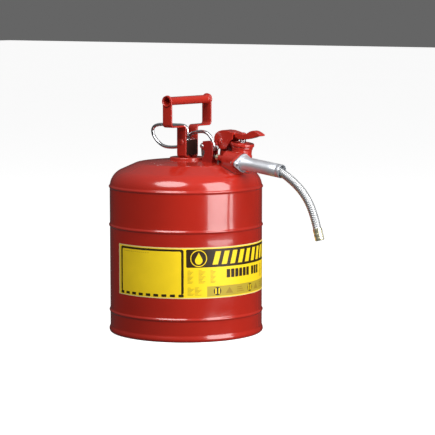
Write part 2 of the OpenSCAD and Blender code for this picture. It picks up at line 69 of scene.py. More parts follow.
# ---------------------------------------------------------------- frames
# The cast head and the spout stand in their own frame, tilted 7 degrees.
TILT = math.radians(7)
HEAD_X = 110
HEAD_Z = 319.852
HEAD = Matrix.Translation((HEAD_X * MM, 0, HEAD_Z * MM)) @ Matrix.Rotation(TILT, 4, "Y")
# Places that several pieces share, in mm. These four are in the head's frame.
OUTLET_Z = 15.5
PORT_Y = 28
SCREW_Y = 22
HINGE = (-43, 44)
# And these four in the can's own frame.
HX = 4.0
PIVOT_Z = 366
GRIP_Z = 446
CRANK = (46, 360)


# ---------------------------------------------------------------- node materials
def new_mat(name):
    m = bpy.data.materials.new(name)
    m.use_nodes = True
    nt = m.node_tree
    for n in list(nt.nodes):
        nt.nodes.remove(n)
    out = nt.nodes.new("ShaderNodeOutputMaterial")
    sh = nt.nodes.new("ShaderNodeBsdfPrincipled")
    nt.links.new(sh.outputs["BSDF"], out.inputs["Surface"])
    return m, nt, sh


def noise(nt, scale, detail=3.0, rough=0.5, stretch=None):
    tc = nt.nodes.new("ShaderNodeTexCoord")
    src = tc.outputs["Object"]
    if stretch:
        mp = nt.nodes.new("ShaderNodeMapping")
        mp.inputs["Scale"].default_value = stretch
        nt.links.new(src, mp.inputs["Vector"])
        src = mp.outputs["Vector"]
    n = nt.nodes.new("ShaderNodeTexNoise")
    n.inputs["Scale"].default_value = scale
    n.inputs["Detail"].default_value = detail
    n.inputs["Roughness"].default_value = rough
    nt.links.new(src, n.inputs["Vector"])
    return n.outputs["Fac"]


def ramp(nt, fac, stops):
    r = nt.nodes.new("ShaderNodeValToRGB")
    el = r.color_ramp.elements
    while len(el) > 1:
        el.remove(el[-1])
    el[0].position = stops[0][0]
    el[0].color = (*stops[0][1], 1)
    for p, c in stops[1:]:
        e = el.new(p)
        e.color = (*c, 1)
    nt.links.new(fac, r.inputs["Fac"])
    return r.outputs["Color"]


def map_range(nt, fac, lo, hi, a=0.0, b=1.0):
    n = nt.nodes.new("ShaderNodeMapRange")
    n.inputs["From Min"].default_value = a
    n.inputs["From Max"].default_value = b
    n.inputs["To Min"].default_value = lo
    n.inputs["To Max"].default_value = hi
    nt.links.new(fac, n.inputs["Value"])
    return n.outputs["Result"]


def bump(nt, sh, height, strength, distance):
    b = nt.nodes.new("ShaderNodeBump")
    b.inputs["Strength"].default_value = strength
    b.inputs["Distance"].default_value = distance
    nt.links.new(height, b.inputs["Height"])
    nt.links.new(b.outputs["Normal"], sh.inputs["Normal"])


def scaled(c, k):
    return tuple(min(1.0, v * k) for v in c)


def enamel(name, c, rough=(0.16, 0.24), peel=0.05, peel_scale=420, coat=0.6):
    """Sprayed and baked enamel: a clear gloss over a slightly uneven colour."""
    m, nt, sh = new_mat(name)
    big = noise(nt, 9, 4, 0.6)
    nt.links.new(ramp(nt, big, [(0.25, scaled(c, 0.93)), (0.75, scaled(c, 1.06))]),
                 sh.inputs["Base Color"])
    nt.links.new(map_range(nt, noise(nt, 38, 3), rough[0], rough[1], 0.3, 0.7),
                 sh.inputs["Roughness"])
    sh.inputs["Coat Weight"].default_value = coat
    sh.inputs["Coat Roughness"].default_value = 0.04
    sh.inputs["Specular IOR Level"].default_value = 0.5
    bump(nt, sh, noise(nt, peel_scale, 2), peel, 0.0006)
    return m


def metal(name, c, rough, grain=(1, 1, 1), grain_scale=300, strength=0.1, dark=0.8, pure=1.0):
    """Bare or plated metal with a fine grain that may run one way."""
    m, nt, sh = new_mat(name)
    g = noise(nt, grain_scale, 4, 0.6, grain)
    nt.links.new(ramp(nt, g, [(0.3, scaled(c, dark)), (0.7, c)]), sh.inputs["Base Color"])
    nt.links.new(map_range(nt, noise(nt, 60, 3), rough[0], rough[1], 0.3, 0.7),
                 sh.inputs["Roughness"])
    sh.inputs["Metallic"].default_value = pure
    bump(nt, sh, g, strength, 0.0002)
    return m


def printed(name, c, rough):
    """Flat printing ink, a little uneven in tone."""
    m, nt, sh = new_mat(name)
    big = noise(nt, 14, 3, 0.6)
    nt.links.new(ramp(nt, big, [(0.3, scaled(c, 0.94)), (0.7, scaled(c, 1.06))]),
                 sh.inputs["Base Color"])
    nt.links.new(map_range(nt, noise(nt, 70, 3), rough - 0.04, rough + 0.05, 0.3, 0.7),
                 sh.inputs["Roughness"])
    sh.inputs["Coat Weight"].default_value = 0.08
    sh.inputs["Coat Roughness"].default_value = 0.15
    sh.inputs["Specular IOR Level"].default_value = 0.3
    bump(nt, sh, noise(nt, 900, 2), 0.04, 0.0003)
    return m


M_CAN = enamel("can_enamel", (0.40, 0.018, 0.009))
M_DOME = enamel("dome_enamel", (0.42, 0.019, 0.010))
M_HANDLE = enamel("handle_enamel", (0.40, 0.020, 0.011), rough=(0.2, 0.3))
M_CAST = enamel("cast_enamel", (0.42, 0.020, 0.011), rough=(0.22, 0.34), peel=0.22,
                peel_scale=520, coat=0.5)
# Near-black enamel for the neck web between the handle straps: painted shade, a dark plate standing where
# the straps shade each other.
M_PAINTED_SHADE = enamel("dark_enamel", (0.030, 0.009, 0.006), rough=(0.3, 0.4), coat=0.2)
# A darker copy of the red enamel for the crank bracket: painted shade for the shadow under the head.
M_BRACKET_SHADED = enamel("bracket_shaded_enamel", (0.29, 0.013, 0.010), rough=(0.26, 0.38), peel=0.2, coat=0.3)
M_YELLOW = printed("label_yellow", (0.93, 0.655, 0.014), 0.42)
M_BLACK = printed("label_black", (0.030, 0.017, 0.006), 0.42)
M_GREY = printed("label_grey", (0.34, 0.22, 0.02), 0.42)
M_OLIVE = printed("label_olive", (0.46, 0.34, 0.03), 0.42)
M_CREAM = printed("label_cream", (0.76, 0.62, 0.26), 0.42)
M_CHROME = metal("chrome_wire", (0.84, 0.85, 0.87), (0.16, 0.26), (1, 1, 1), 500, 0.02, 0.94)
M_ZINC = metal("zinc_plate", (0.66, 0.67, 0.68), (0.26, 0.4), (1, 1, 1), 260, 0.12, 0.75)
M_SPRING = metal("spring_wire", (0.52, 0.53, 0.55), (0.2, 0.32), (1, 1, 1), 320, 0.06, 0.8)
M_SPOUT = metal("spout_satin", (0.70, 0.72, 0.76), (0.42, 0.5), (1, 6, 6), 160, 0.03, 0.93, 0.76)
M_HOSE = metal("hose_strip", (0.54, 0.55, 0.56), (0.36, 0.46), (1, 1, 1), 300, 0.03, 0.9, 0.84)
M_BRASS = metal("brass", (0.90, 0.86, 0.60), (0.24, 0.34), (1, 1, 1), 240, 0.04, 0.9, 0.85)


def rubber(name, c):
    m, nt, sh = new_mat(name)
    g = noise(nt, 180, 4, 0.6)
    nt.links.new(ramp(nt, g, [(0.3, scaled(c, 0.7)), (0.7, scaled(c, 1.5))]),
                 sh.inputs["Base Color"])
    nt.links.new(map_range(nt, g, 0.55, 0.75, 0.3, 0.7), sh.inputs["Roughness"])
    bump(nt, sh, noise(nt, 700, 2), 0.15, 0.0003)
    return m


M_RUBBER = rubber("seal_rubber", (0.02, 0.02, 0.02))


def woven_wire(name):
    """Fine woven wire: two crossing sets of raised wires, with painted shade between them for the dark
    seen through the gaps.
    """
    m, nt, sh = new_mat(name)
    tc = nt.nodes.new("ShaderNodeTexCoord")
    heights = []
    for turn in (0.785, -0.785):
        mp = nt.nodes.new("ShaderNodeMapping")
        mp.inputs["Rotation"].default_value = (turn, 0.0, 0.0)
        nt.links.new(tc.outputs["Object"], mp.inputs["Vector"])
        w = nt.nodes.new("ShaderNodeTexWave")
        w.wave_type = "BANDS"
        w.bands_direction = "Z"
        w.inputs["Scale"].default_value = 320
        w.inputs["Distortion"].default_value = 0.0
        nt.links.new(mp.outputs["Vector"], w.inputs["Vector"])
        heights.append(w.outputs["Fac"])
    mx = nt.nodes.new("ShaderNodeMath")
    mx.operation = "MAXIMUM"
    nt.links.new(heights[0], mx.inputs[0])
    nt.links.new(heights[1], mx.inputs[1])
    nt.links.new(ramp(nt, mx.outputs[0], [(0.45, (0.03, 0.03, 0.03)), (0.75, (0.6, 0.6, 0.58))]),
                 sh.inputs["Base Color"])
    nt.links.new(map_range(nt, mx.outputs[0], 0.7, 0.35), sh.inputs["Roughness"])
    sh.inputs["Metallic"].default_value = 0.9
    bump(nt, sh, mx.outputs[0], 0.5, 0.0004)
    return m


M_SCREEN = woven_wire("woven_screen")


# ---------------------------------------------------------------- mesh helpers
def link(name, verts, faces, mat, sharp=35):
    """A new mesh object in the scene, shaded smooth up to the sharp angle."""
    me = bpy.data.meshes.new(name)
    me.from_pydata([tuple(v) for v in verts], [], faces)
    me.validate()
    ob = bpy.data.objects.new(name, me)
    scene.collection.objects.link(ob)
    me.materials.append(mat)
    fix_normals(ob)
    shade(ob, sharp)
    return ob


def fix_normals(ob):
    bm = bmesh.new()
    bm.from_mesh(ob.data)
    bmesh.ops.remove_doubles(bm, verts=bm.verts, dist=1e-7)
    bmesh.ops.recalc_face_normals(bm, faces=bm.faces)
    bm.to_mesh(ob.data)
    bm.free()


def shade(ob, sharp=35):
    """Smooth shading that keeps edges sharper than this angle."""
    bm = bmesh.new()
    bm.from_mesh(ob.data)
    lim = math.radians(sharp)
    for f in bm.faces:
        f.smooth = True
    for e in bm.edges:
        e.smooth = not (len(e.link_faces) == 2 and e.calc_face_angle(0.0) > lim)
    bm.to_mesh(ob.data)
    bm.free()


def apply_all(ob):
    """Turn the object's modifiers into its mesh."""
    dg = bpy.context.evaluated_depsgraph_get()
    me = bpy.data.meshes.new_from_object(ob.evaluated_get(dg))
    old = ob.data
    ob.modifiers.clear()
    ob.data = me
    me.name = ob.name
    bpy.data.meshes.remove(old)
    return ob


def bevel(ob, width, segs, angle):
    b = ob.modifiers.new("bevel", "BEVEL")
    b.width = width * MM
    b.segments = segs
    b.limit_method = "ANGLE"
    b.angle_limit = math.radians(angle)
    b.harden_normals = False
    return apply_all(ob)


def boolean(ob, cutter):
    """Cut the cutter's shape out of ob, then delete the cutter."""
    b = ob.modifiers.new("cut", "BOOLEAN")
    b.operation = "DIFFERENCE"
    b.solver = "EXACT"
    b.object = cutter
    apply_all(ob)
    bpy.data.objects.remove(cutter, do_unlink=True)
    return ob


def remesh(ob, voxel, smooth_steps):
    """One closed skin over everything in ob, with its corners softened."""
    r = ob.modifiers.new("voxel", "REMESH")
    r.mode = "VOXEL"
    r.voxel_size = voxel * MM
    s = ob.modifiers.new("soften", "SMOOTH")
    s.factor = 0.5
    s.iterations = smooth_steps
    apply_all(ob)
    for p in ob.data.polygons:
        p.use_smooth = True
    return ob


def join(name, obs):
    """Merge meshes, keeping each one's materials."""
    mats = []
    verts = []
    faces = []
    indices = []
    smooth = []
    for o in obs:
        base = len(verts)
        verts += [o.matrix_world @ v.co for v in o.data.vertices]
        slots = []
        for m in o.data.materials:
            if m not in mats:
                mats.append(m)
            slots.append(mats.index(m))
        for p in o.data.polygons:
            faces.append([base + i for i in p.vertices])
            indices.append(slots[p.material_index] if slots else 0)
            smooth.append(p.use_smooth)
    me = bpy.data.meshes.new(name)
    me.from_pydata([tuple(v) for v in verts], [], faces)
    for m in mats:
        me.materials.append(m)
    for p, i, s in zip(me.polygons, indices, smooth):
        p.material_index = i
        p.use_smooth = s
    ob = bpy.data.objects.new(name, me)
    scene.collection.objects.link(ob)
    for o in obs:
        bpy.data.objects.remove(o, do_unlink=True)
    return ob


def place(ob, matrix):
    """Move the mesh itself, so that the object stays at the frame's origin."""
    ob.data.transform(matrix)
    return ob


def lathe(name, line, mat, n=96, at=None, closed=True, sharp=35, arc=None):
    """Revolve a line of (r, z) in mm about Z. closed joins the last point to the first.
    Points with r 0 become poles. arc = (from, to) in degrees makes part of a turn."""
    full = arc is None
    a0, a1 = (0.0, 360.0) if full else arc
    cols = n if full else n + 1
    verts, rows = [], []
    for r, z in line:
        if r <= 1e-9:
            rows.append([len(verts)])
            verts.append((0, 0, z * MM))
        else:
            row = []
            for k in range(cols):
                a = math.radians(a0 + (a1 - a0) * k / n)
                row.append(len(verts))
                verts.append((r * cos(a) * MM, r * sin(a) * MM, z * MM))
            rows.append(row)
    faces = []
    m = len(rows)
    pairs = [(i, (i + 1) % m) for i in range(m if closed else m - 1)]
    for i, j in pairs:
        a, b = rows[i], rows[j]
        if len(a) == 1 and len(b) == 1:
            continue
        for k in range(n):
            k2 = (k + 1) % n if full else k + 1
            if len(a) == 1:
                faces.append([a[0], b[k], b[k2]])
            elif len(b) == 1:
                faces.append([a[k], b[0], a[k2]])
            else:
                faces.append([a[k], b[k], b[k2], a[k2]])
    if not full and closed:
        for k in (0, n):
            faces.append([row[k] if len(row) > 1 else row[0] for row in rows])
    ob = link(name, verts, faces, mat, sharp)
    if at is not None:
        place(ob, at)
    return ob


def round_line(pts, radius, steps=4):
    """Round the corners of a closed (r, z) outline; radius is a number or one per point."""
    out = []
    n = len(pts)
    for i, p in enumerate(pts):
        r = radius[i] if isinstance(radius, (list, tuple)) else radius
        a = Vector(pts[i - 1])
        b = Vector(p)
        c = Vector(pts[(i + 1) % n])
        if r <= 0 or b.x <= 1e-9:
            out.append((b.x, b.y))
            continue
        u, v = (a - b), (c - b)
        lu, lv = u.length, v.length
        u.normalize()
        v.normalize()
        ang = u.angle(v)
        if ang > pi - 0.02:
            out.append((b.x, b.y))
            continue
        t = min(r / math.tan(ang / 2), 0.45 * lu, 0.45 * lv)
        rr = t * math.tan(ang / 2)
        mid = (u + v).normalized()
        ctr = b + mid * (rr / sin(ang / 2))
        p0, p1 = b + u * t, b + v * t
        d0, d1 = p0 - ctr, p1 - ctr
        sweep = d0.angle(d1)
        sgn = 1 if d0.x * d1.y - d0.y * d1.x > 0 else -1
        for k in range(steps + 1):
            a_ = sgn * sweep * k / steps
            q = ctr + Vector((d0.x * cos(a_) - d0.y * sin(a_), d0.x * sin(a_) + d0.y * cos(a_)))
            out.append((q.x, q.y))
    return out


def prism(name, outline, y0, y1, mat):
    """A flat outline in x, z drawn out from y0 to y1, all in mm."""
    n = len(outline)
    verts = [(x * MM, y0 * MM, z * MM) for x, z in outline]
    verts += [(x * MM, y1 * MM, z * MM) for x, z in outline]
    faces = [[i, (i + 1) % n, n + (i + 1) % n, n + i] for i in range(n)]
    tris = tessellate_polygon([[Vector((x, z, 0)) for x, z in outline]])
    faces += [list(t) for t in tris] + [[n + i for i in t] for t in tris]
    return link(name, verts, faces, mat)


def smooth_curve(pts, steps):
    """Catmull-Rom through the points, steps to each stretch."""
    out = []
    n = len(pts)
    P = [Vector(p) for p in pts]
    for i in range(n - 1):
        a, b, c, d = P[max(i - 1, 0)], P[i], P[i + 1], P[min(i + 2, n - 1)]
        for k in range(steps):
            t = k / steps
            out.append(0.5 * (2 * b + (c - a) * t + (2 * a - 5 * b + 4 * c - d) * t * t
                              + (3 * b - a - 3 * c + d) * t * t * t))
    out.append(P[-1])
    return out


def even(pts, step):
    """The same curve with points a fixed step apart."""
    out = [pts[0].copy()]
    left = step
    for a, b in zip(pts, pts[1:]):
        seg = (b - a).length
        if seg < 1e-12:
            continue
        pos = 0.0
        while seg - pos >= left:
            pos += left
            out.append(a.lerp(b, pos / seg))
            left = step
        left -= seg - pos
    if (out[-1] - pts[-1]).length > step * 0.3:
        out.append(pts[-1].copy())
    else:
        out[-1] = pts[-1].copy()
    return out


def tube(name, pts, radius, mat, n=24):
    """A tube along pts (mm). radius is a number or a function of distance and angle."""
    P = [Vector(p) for p in pts]
    m = len(P)
    T = [(P[min(i + 1, m - 1)] - P[max(i - 1, 0)]).normalized() for i in range(m)]
    ref = Vector((0, 1, 0)) if abs(T[0].y) < 0.9 else Vector((1, 0, 0))
    N = (ref - T[0] * ref.dot(T[0])).normalized()
    dist = 0.0
    verts, faces = [], []
    for i in range(m):
        if i:
            dist += (P[i] - P[i - 1]).length
            q = T[i - 1].rotation_difference(T[i])
            N = q @ N
            N = (N - T[i] * N.dot(T[i])).normalized()
        B = T[i].cross(N)
        for k in range(n):
            a = 2 * pi * k / n
            r = radius(dist, a) if callable(radius) else radius
            verts.append((P[i] + N * (r * cos(a)) + B * (r * sin(a))) * MM)
    for i in range(m - 1):
        for k in range(n):
            k2 = (k + 1) % n
            faces.append([i * n + k, i * n + k2, (i + 1) * n + k2, (i + 1) * n + k])
    faces.append(list(range(n)))
    faces.append([(m - 1) * n + k for k in range(n)])
    return link(name, verts, faces, mat, 50)


def arc2(cx, cz, r, a0, a1, n):
    return [(cx + r * cos(math.radians(a0 + (a1 - a0) * k / n)),
             cz + r * sin(math.radians(a0 + (a1 - a0) * k / n))) for k in range(n + 1)]


def axis_x(x, z=OUTLET_Z, y=0.0):
    """Matrix that lays a lathe's Z axis along the head's x, starting at x (mm)."""
    return HEAD @ Matrix.Translation((x * MM, y * MM, z * MM)) @ Matrix.Rotation(pi / 2, 4, "Y")


def axis_y(x, z, y=0.0, head=False):
    m = Matrix.Translation((x * MM, y * MM, z * MM)) @ Matrix.Rotation(-pi / 2, 4, "X")
    return HEAD @ m if head else m


def head_z(x, y, z):
    return HEAD @ Matrix.Translation((x * MM, y * MM, z * MM))


# ---------------------------------------------------------------- hose
HOSE_ROUTE = [
    (170.2, 328), (177, 327.3), (184, 327.1), (191, 326.9), (198, 326.5), (204, 325.8),
    (209.5, 324.8), (214.5, 323.6), (219.5, 322.1), (224.5, 320.2), (229.5, 317.9), (235, 315.1),
    (240, 312.3), (250, 306.1), (260, 299), (270, 290.8), (279, 281.5), (287, 271.3), (294, 259.8),
    (300, 246.7), (305.2, 232.6), (309.2, 220),
]
hose_line = even(smooth_curve([(x, 0, z) for x, z in HOSE_ROUTE], 12), 0.4)
PITCH = 3.6


def hose_radius(s, a):
    """An interlocked strip: a rounded rib that climbs once a turn, a narrow groove between."""
    u = (s / PITCH + a / (2 * pi)) % 1.0
    rib = 0.5 - 0.5 * cos(2 * pi * min(1.0, u / 0.86)) if u < 0.86 else 0.0
    return 7.15 + 0.8 * rib ** 0.45


hose = tube("flex_hose", hose_line, hose_radius, M_HOSE, 40)
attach(hose, "can")
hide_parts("hose")

tip_x = HOSE_ROUTE[-1][0]
tip_z = HOSE_ROUTE[-1][1]
tip_at = (Matrix.Translation((tip_x * MM, 0, tip_z * MM))
          @ Matrix.Rotation(math.radians(163.5), 4, "Y"))
tip_line = round_line([
    (5.5, 0), (8.2, 0), (8.6, 0.5), (8.6, 6.9), (8.1, 7.5), (8.1, 9.0), (8.6, 9.6), (8.6, 15.2),
    (8.2, 15.6), (8.2, 16.6), (8.6, 17.0), (8.6, 20.7), (7.3, 22), (6.2, 22), (5.5, 21.2),
], 0.25, 2)
nozzle = lathe("nozzle_tip", tip_line, M_BRASS, 64, tip_at)
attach(nozzle, "can")
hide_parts("hose_nozzle")


# ---------------------------------------------------------------- drum
R = 147.0
SHOULDER_C = 111.0
SHOULDER_R = 36
SHOULDER_Z = 280
CREASE_R = 95
CONE = math.radians(24)


def skirt(z):
    """The drum's radius at height z, without its beads."""
    if z <= SHOULDER_Z:
        return R
    return SHOULDER_C + math.sqrt(SHOULDER_R ** 2 - (z - SHOULDER_Z) ** 2)


BEAD_HALF = 4.2
BEAD_HEIGHT = 1.9
BEAD_STEPS = 16


def bead_pts(z, inset=0.0):
    """The (r, z) line over one rolled bead centred at height z."""
    return [(skirt(z + BEAD_HALF * t) + BEAD_HEIGHT * (1 + cos(pi * t)) / 2 - inset,
             z + BEAD_HALF * t)
            for t in [-1 + 2 * k / BEAD_STEPS for k in range(BEAD_STEPS + 1)]]


wall_out = [(R, 13)] + bead_pts(42) + [(R, 60), (R, 100), (R, 150), (R, 190)] + bead_pts(207)
wall_out += [(R, 225), (R, 250), (R, 276.8)]
wall_in = [(r - 0.7, z) for r, z in reversed(wall_out)]
body = lathe("can_wall", wall_out + wall_in, M_CAN, 256)
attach(body, "can")
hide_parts("body_shell")

chime = [(147, 13.0), (147.1, 11.6), (147.8, 10), (148.8, 7.4), (149.2, 5.2), (149.05, 3.2),
         (148.3, 1.5), (147.1, 0.4), (145.6, 0.0), (144.7, 0.1), (144.2, 0.7), (144.0, 2.0),
         (144.0, 6.0), (142.9, 7.9), (140.5, 8.3), (100, 9.9), (50, 11.3), (0, 12.0)]
pan_up = [(0, 12.7), (50, 12.0), (100, 10.6), (140.2, 9.0), (143.6, 9.6), (145.2, 13.0)]
pan = lathe("base_pan", chime + pan_up, M_CAN, 256)
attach(pan, "can")
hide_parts("bottom_pan")

CREASE_Z = 326.5306
CROWN_R = CREASE_R / sin(math.radians(8))
CROWN_C = CREASE_Z - CROWN_R * cos(math.radians(8))


def dome_pts(inset=0.0):
    line = bead_pts(281, inset)
    turn = SHOULDER_R - inset
    line += [(SHOULDER_C + turn * cos(math.radians(a)), SHOULDER_Z + turn * sin(math.radians(a)))
             for a in range(12, 67, 3)]
    # the crease between cone and crown, rounded over a few millimetres
    pc = (CREASE_R - inset * sin(math.radians(16)), CREASE_Z - inset * cos(math.radians(16)))
    for t in (9.0, 6.0, 3.0):
        line.append((pc[0] + t, pc[1] - t * math.tan(CONE)))
    line.append((pc[0] + 0.6, pc[1] - 0.5))
    line.append((pc[0] - 1.6, pc[1] + 0.05))
    for a in (7.6, 7, 6, 5, 4, 3, 2, 1):
        line.append(((CROWN_R - inset) * sin(math.radians(a)),
                     CROWN_C + (CROWN_R - inset) * cos(math.radians(a))))
    line.append((0.0, CROWN_C + CROWN_R - inset))
    return line


dome = lathe("can_dome", dome_pts() + list(reversed(dome_pts(0.7))), M_DOME, 256, sharp=40)
for y, r in ((PORT_Y, 15.0), (0, 9.0)):
    boolean(dome, lathe("cutter", [(0, -40), (r, -40), (r, 20), (0, 20)], M_DOME, 64,
                        head_z(0, y, 0)))
shade(dome, 40)
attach(dome, "can")
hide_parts("top_dome")


def dome_z(r):
    """Height of the dome's outer face at radius r."""
    if r <= CREASE_R:
        return CROWN_C + math.sqrt(CROWN_R ** 2 - r * r)
    if r <= SHOULDER_C + SHOULDER_R * sin(CONE):
        return CREASE_Z - (r - CREASE_R) * math.tan(CONE)
    return SHOULDER_Z + math.sqrt(max(0.0, SHOULDER_R ** 2 - (r - SHOULDER_C) ** 2))


# ---------------------------------------------------------------- label
LABEL_FOOT = 83.0
LABEL_TOP = 179.0
LABEL_HALF = 110.6
band_in = R + 0.03
band_out = R + 0.28
band = lathe("label_band", [(band_in, LABEL_FOOT), (band_out, LABEL_FOOT), (band_out, LABEL_TOP),
                            (band_in, LABEL_TOP)],
             M_CREAM, 160, arc=(-LABEL_HALF, LABEL_HALF), sharp=30)
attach(band, "can")
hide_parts("label")


def wrap(name, shapes, mat, r):
    """Thin printed shapes on the drum. A shape is a closed outline of (angle in degrees, z)."""
    verts, faces = [], []
    for outline in shapes:
        pts = []
        n = len(outline)
        for i in range(n):
            a, b = outline[i], outline[(i + 1) % n]
            cuts = max(1, int(abs(b[0] - a[0]) / 2.0))
            for k in range(cuts):
                pts.append((a[0] + (b[0] - a[0]) * k / cuts, a[1] + (b[1] - a[1]) * k / cuts))
        bm = bmesh.new()
        bm.faces.new([bm.verts.new((p[0], p[1], 0)) for p in pts])
        lo = min(p[0] for p in pts)
        hi = max(p[0] for p in pts)
        step = 2.0
        x = math.ceil(lo / step) * step
        while x < hi:
            if x > lo + 1e-6:
                bmesh.ops.bisect_plane(bm, geom=bm.verts[:] + bm.edges[:] + bm.faces[:],
                                       plane_co=(x, 0, 0), plane_no=(1, 0, 0), dist=1e-7)
            x += step
        bmesh.ops.triangulate(bm, faces=[f for f in bm.faces if len(f.verts) > 4])
        bm.verts.index_update()
        base = len(verts)
        for v in bm.verts:
            a = math.radians(v.co.x)
            verts.append((r * cos(a) * MM, r * sin(a) * MM, v.co.y * MM))
        for f in bm.faces:
            faces.append([base + v.index for v in f.verts])
        bm.free()
    me = bpy.data.meshes.new(name)
    me.from_pydata(verts, [], faces)
    me.materials.append(mat)
    ob = bpy.data.objects.new(name, me)
    scene.collection.objects.link(ob)
    bm = bmesh.new()
    bm.from_mesh(me)
    for f in bm.faces:
        c = f.calc_center_median()
        if f.normal.x * c.x + f.normal.y * c.y < 0:
            f.normal_flip()
        f.smooth = True
    bm.to_mesh(me)
    bm.free()
    so = ob.modifiers.new("ply", "SOLIDIFY")
    so.thickness = 0.05 * MM
    so.offset = -1
    apply_all(ob)
    shade(ob, 30)
    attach(ob, "can")
    return ob


# Degrees round the drum for each millimetre along the label
DEG_PER_MM = 360 / (2 * pi * 147.3)


def rect(a0, z0, a1, z1):
    return [(a0, z0), (a1, z0), (a1, z1), (a0, z1)]


def rrect(a0, z0, a1, z1, r, n=5):
    """Rectangle with rounded corners; r in mm."""
    ra = r * DEG_PER_MM
    out = []
    for cx, cz, s in ((a1 - ra, z0 + r, -90), (a1 - ra, z1 - r, 0), (a0 + ra, z1 - r, 90),
                      (a0 + ra, z0 + r, 180)):
        for k in range(n + 1):
            t = math.radians(s + 90 * k / n)
            out.append((cx + ra * cos(t), cz + r * sin(t)))
    return out


def disc(a, z, r, n=40):
    return [(a + r * DEG_PER_MM * cos(2 * pi * k / n), z + r * sin(2 * pi * k / n)) for k in range(n)]


def slanted(a0, a1, z0, z1, lean):
    """A parallelogram; lean is how many degrees its top stands to the right of its foot."""
    return [(a0, z0), (a1, z0), (a1 + lean, z1), (a0 + lean, z1)]


def droplet(a, z, r):
    """A plain drop of liquid, r the radius of its belly in mm."""
    pts = []
    for k in range(25):
        t = math.radians(-215 + 250 * k / 24)
        pts.append((a + r * DEG_PER_MM * cos(t), z + r * sin(t)))
    pts.append((a, z + 2.15 * r))
    return pts


field, black, yellow, grey, olive, dark = [], [], [], [], [], []
field.append(rrect(-109.2, 84.6, 109.2, 177.4, 1.5))
for s in (-1, 1):
    lo, hi = sorted((s * 107.2, s * 52.8))
    # write-on panel: a rounded black frame round a plain field, a dashed line at the foot
    black.append(rrect(lo, 90.5, hi, 175.8, 4.5))
    yellow.append(rrect(lo + 1.8, 86, hi - 1.8, 171.8, 3.2))
    for k in range(9):
        a = lo + (hi - lo - 3.8) * k / 8
        dark.append(rrect(a, 86.0, a + 3.8, 91.0, 0.9, 3))
    # a faint dotted line along the top of the field
    for k in range(13):
        a = lo + 4.0 + 1.9 * k
        grey.append(rect(a, 167.3, a + 1.1, 168.0))
# header band with a drop in a ring and slanted hazard bars
black.append(rrect(-51.0, 141.5, 51.0, 175.8, 3.0))
yellow.append(disc(-41.8, 158.7, 15.8))
dark.append(disc(-41.8, 158.7, 14.2))
ink_top = [droplet(-41.8, 154.5, 7.2)]
for k in range(11):
    a = -31.5 + 7.3 * k
    yellow.append(slanted(a, a + 4.3, 146.2, 171.0, 2.6))
# short bars under the header
for k, w in enumerate((3.4, 3.4, 3.4, 3.4, 3.4, 3.4, 0, 3.4, 3.4, 3.4)):
    if w:
        a = -20.0 + 3.9 * k - (1.6 if k > 6 else 0)
        black.append(rrect(a, 120.0, a + 3.1, 136.0, 0.8, 3))
# columns of fine print, as dashes
for a0, a1, z0, z1 in ((-50, -45.6, 111, 136), (-42, -36.6, 111, 136), (-33, -28.8, 111, 136),
                       (-50, -39.5, 90, 104), (20, 26, 111, 136), (29, 34, 111, 136),
                       (37, 49.5, 111, 136), (40, 49.5, 90, 104)):
    z, k = z1, 0
    while z > z0:
        n = 1 if a1 - a0 < 8 else 2
        for j in range(n):
            w = (a1 - a0) / n
            short = 0.45 + 0.5 * ((k * 7 + j * 5) % 4) / 3
            grey.append(rect(a0 + j * w, z - 0.75, a0 + j * w + w * min(0.94, short), z))
        z -= 2.3
        k += 1
# foot strip with plain signs
olive.append(rect(-35.6, 86.2, 37.6, 105.6))
for k, a in enumerate((-27.5, -17.5, -7.0, 4.0, 13.0, 23.0, 32.0)):
    if k % 3 == 0:
        dark.append(disc(a, 95.9, 7.6, 32))
        ink_top.append(rect(a - 1.9, 90.6, a - 0.7, 101.2))
        ink_top.append(rect(a + 0.7, 90.6, a + 1.9, 101.2))
    elif k % 3 == 1:
        grey.append([(a - 3.4, 90.5), (a + 3.4, 90.5), (a, 102.0)])
    else:
        for j in range(3):
            grey.append(rect(a - 3.4, 91.2 + 4.1 * j, a + 3.4 - j, 92.9 + 4.1 * j))
for name, shapes, mat, lift in (
    ("label_field", field, M_YELLOW, 0.33), ("label_strip", olive, M_OLIVE, 0.38),
    ("label_ink", black, M_BLACK, 0.38), ("label_panels", yellow, M_YELLOW, 0.44),
    ("label_small", grey, M_GREY, 0.49), ("label_signs", dark, M_BLACK, 0.49),
    ("label_marks", ink_top, M_YELLOW, 0.54),
):
    wrap(name, shapes, mat, R + lift)

# ---------------------------------------------------------------- handle
plate_line = round_line([(0, 330), (34.5, 330), (34.5, 337), (0, 337)], [0, 0, 2.2, 0], 5)
plate = lathe("handle_plate", plate_line, M_HANDLE, 96, Matrix.Translation((HX * MM, 0, 0)))
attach(plate, "can")
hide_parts("handle_base")


